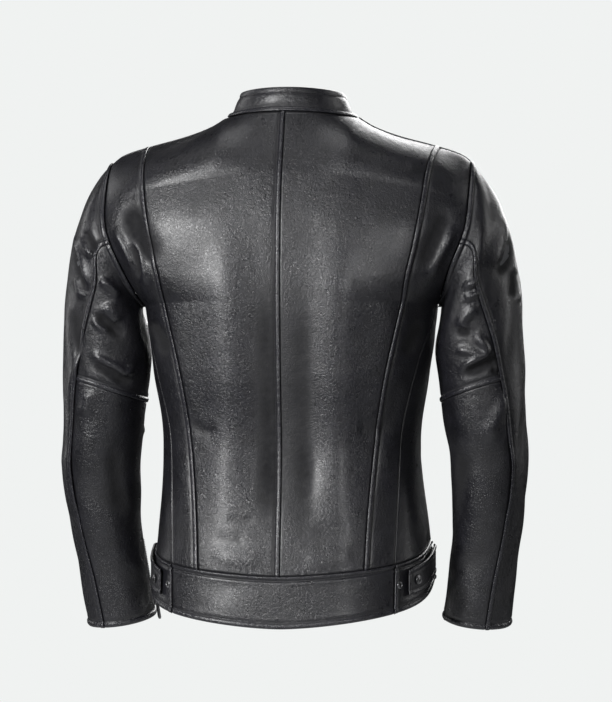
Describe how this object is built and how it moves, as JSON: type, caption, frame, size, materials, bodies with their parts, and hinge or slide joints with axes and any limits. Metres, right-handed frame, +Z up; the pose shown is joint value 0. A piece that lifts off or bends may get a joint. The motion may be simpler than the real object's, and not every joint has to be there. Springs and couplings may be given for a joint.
{
  "type": "leather riding jacket",
  "caption": "Hip-length leather jacket with a stand collar, centre front zip, snap waist tabs, zipped pockets and cuffs, lining and armour pads.",
  "frame": {"origin": "the crown of the hanger loop inside the back of the neck, on the jacket's middle plane", "axes": "+Z up, +Y towards the wearer's front, +X towards the wearer's right"},
  "size_m": [0.6022, 0.2539, 0.6938],
  "materials": {
    "leather": "semi-gloss pebbled black cowhide",
    "lining": "matt woven polyester",
    "armour": "matt moulded foam",
    "zip_tape": "matt ribbed tape",
    "hardware": "gunmetal plated"
  },
  "bodies": {
    "jacket": {"back_panel_left": "leather", "side_back_panel_left": "leather", "front_panel_left": "leather", "back_panel_right": "leather", "side_back_panel_right": "leather", "front_panel_right": "leather", "waistband_back": "leather", "waistband_front_left": "leather", "waistband_front_right": "leather", "collar_outer": "leather", "collar_facing": "leather", "sleeve_top_left": "leather", "sleeve_under_upper_left": "leather", "sleeve_under_lower_left": "leather", "cuff_facing_left": "leather", "sleeve_lining_left": "lining", "shoulder_pad_left": "armour", "elbow_pad_left": "armour", "sleeve_top_right": "leather", "sleeve_under_upper_right": "leather", "sleeve_under_lower_right": "leather", "cuff_facing_right": "leather", "sleeve_lining_right": "lining", "shoulder_pad_right": "armour", "elbow_pad_right": "armour", "body_lining_back": "lining", "body_lining_front_left": "lining", "body_lining_front_right": "lining", "back_protector": "armour", "front_zip_chain": "hardware", "front_zip_tape_left": "zip_tape", "front_zip_tape_right": "zip_tape", "front_zip_box": "hardware", "pocket_zip_chain_left": "hardware", "pocket_welt_left": "leather", "cuff_zip_chain_left": "hardware", "cuff_zip_tape_left": "zip_tape", "pocket_zip_chain_right": "hardware", "pocket_welt_right": "leather", "cuff_zip_chain_right": "hardware", "cuff_zip_tape_right": "zip_tape", "waist_stud_left": "hardware", "waist_spare_stud_left": "hardware", "waist_stud_right": "hardware", "waist_spare_stud_right": "hardware", "hanger_loop": "leather"},
    "front_zip_slider_body": {"front_zip_slider": "hardware"},
    "front_zip_pull_body": {"front_zip_pull": "hardware"},
    "pocket_zip_slider_body_left": {"pocket_zip_slider_left": "hardware"},
    "pocket_zip_pull_body_left": {"pocket_zip_pull_left": "hardware"},
    "pocket_zip_slider_body_right": {"pocket_zip_slider_right": "hardware"},
    "pocket_zip_pull_body_right": {"pocket_zip_pull_right": "hardware"},
    "cuff_zip_slider_body_left": {"cuff_zip_slider_left": "hardware"},
    "cuff_zip_pull_body_left": {"cuff_zip_pull_left": "hardware"},
    "cuff_zip_slider_body_right": {"cuff_zip_slider_right": "hardware"},
    "cuff_zip_pull_body_right": {"cuff_zip_pull_right": "hardware"},
    "waist_tab_body_left": {"waist_tab_left": "leather", "waist_tab_snap_left": "hardware"},
    "waist_tab_body_right": {"waist_tab_right": "leather", "waist_tab_snap_right": "hardware"}
  },
  "joints": [
    {"name": "front_zip_slide", "type": "slide", "parent": "jacket", "child": "front_zip_slider_body", "axis": [0, 0.0872, -0.9962], "range_m": [0, 0.54]},
    {"name": "front_zip_pull_swing", "type": "hinge", "parent": "front_zip_slider_body", "child": "front_zip_pull_body", "pos_m": [0, 0.12719, -0.03486], "axis": [1, 0, 0], "range_deg": [0, 150]},
    {"name": "pocket_zip_slide_left", "type": "slide", "parent": "jacket", "child": "pocket_zip_slider_body_left", "axis": [-0.0653, 0.0671, -0.9956], "range_m": [0, 0.122]},
    {"name": "pocket_zip_pull_swing_left", "type": "hinge", "parent": "pocket_zip_slider_body_left", "child": "pocket_zip_pull_body_left", "pos_m": [-0.08998, 0.15558, -0.35632], "axis": [0.9642, 0.2611, -0.0457], "range_deg": [0, 140]},
    {"name": "pocket_zip_slide_right", "type": "slide", "parent": "jacket", "child": "pocket_zip_slider_body_right", "axis": [0.0653, 0.0671, -0.9956], "range_m": [0, 0.122]},
    {"name": "pocket_zip_pull_swing_right", "type": "hinge", "parent": "pocket_zip_slider_body_right", "child": "pocket_zip_pull_body_right", "pos_m": [0.08998, 0.15558, -0.35632], "axis": [0.9642, -0.2611, 0.0457], "range_deg": [0, 140]},
    {"name": "cuff_zip_slide_left", "type": "slide", "parent": "jacket", "child": "cuff_zip_slider_body_left", "axis": [-0.1356, -0.2114, 0.9679], "range_m": [0, 0.078]},
    {"name": "cuff_zip_pull_swing_left", "type": "hinge", "parent": "cuff_zip_slider_body_left", "child": "cuff_zip_pull_body_left", "pos_m": [-0.1903, 0.14591, -0.62266], "axis": [0.5679, -0.8171, -0.0989], "range_deg": [0, 140]},
    {"name": "cuff_zip_slide_right", "type": "slide", "parent": "jacket", "child": "cuff_zip_slider_body_right", "axis": [0.1356, -0.2114, 0.9679], "range_m": [0, 0.078]},
    {"name": "cuff_zip_pull_swing_right", "type": "hinge", "parent": "cuff_zip_slider_body_right", "child": "cuff_zip_pull_body_right", "pos_m": [0.1903, 0.14591, -0.62266], "axis": [0.5679, 0.8171, 0.0989], "range_deg": [0, 140]},
    {"name": "waist_tab_swing_left", "type": "hinge", "parent": "jacket", "child": "waist_tab_body_left", "pos_m": [-0.18146, 0.07713, -0.56531], "axis": [0, 0, -1], "range_deg": [0, 20]},
    {"name": "waist_tab_swing_right", "type": "hinge", "parent": "jacket", "child": "waist_tab_body_right", "pos_m": [0.18146, 0.07713, -0.56531], "axis": [0, 0, 1], "range_deg": [0, 20]}
  ]
}
